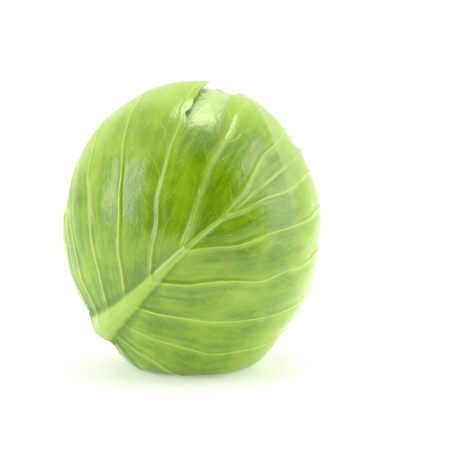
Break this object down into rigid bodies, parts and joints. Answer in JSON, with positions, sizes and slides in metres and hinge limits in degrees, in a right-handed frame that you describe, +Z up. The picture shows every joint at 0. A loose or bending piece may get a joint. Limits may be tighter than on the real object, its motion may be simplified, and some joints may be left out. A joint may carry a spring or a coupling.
{
  "type": "cabbage head",
  "caption": "Whole head of round green cabbage lying on its side, with wrapped outer leaves, raised midribs and veins, a packed heart and a cut stem.",
  "frame": {"origin": "on the ground, in the middle of the flattened spot that the head rests on, right below the middle of the head", "axes": "+Z up, along the longest extent of the lying head; -Y towards the side that shows the front leaf with its midrib; +X to the right of that view"},
  "size_m": [0.1655, 0.1671, 0.1836],
  "materials": {
    "outer_leaf": "waxy green leaf, semi-gloss, pale raised veins",
    "inner_leaf": "waxy light green leaf, semi-gloss, pale raised veins",
    "heart_leaf": "pale yellow-green leaf, satin",
    "cut_stem": "pale cut stem, moist, satin, browned at the rim"
  },
  "bodies": {
    "root": {"wrapper_leaf_1": "outer_leaf", "wrapper_leaf_2": "outer_leaf", "wrapper_leaf_3": "outer_leaf", "wrapper_leaf_4": "inner_leaf", "wrapper_leaf_5": "inner_leaf", "heart": "heart_leaf", "stem": "cut_stem"}
  },
  "joints": []
}
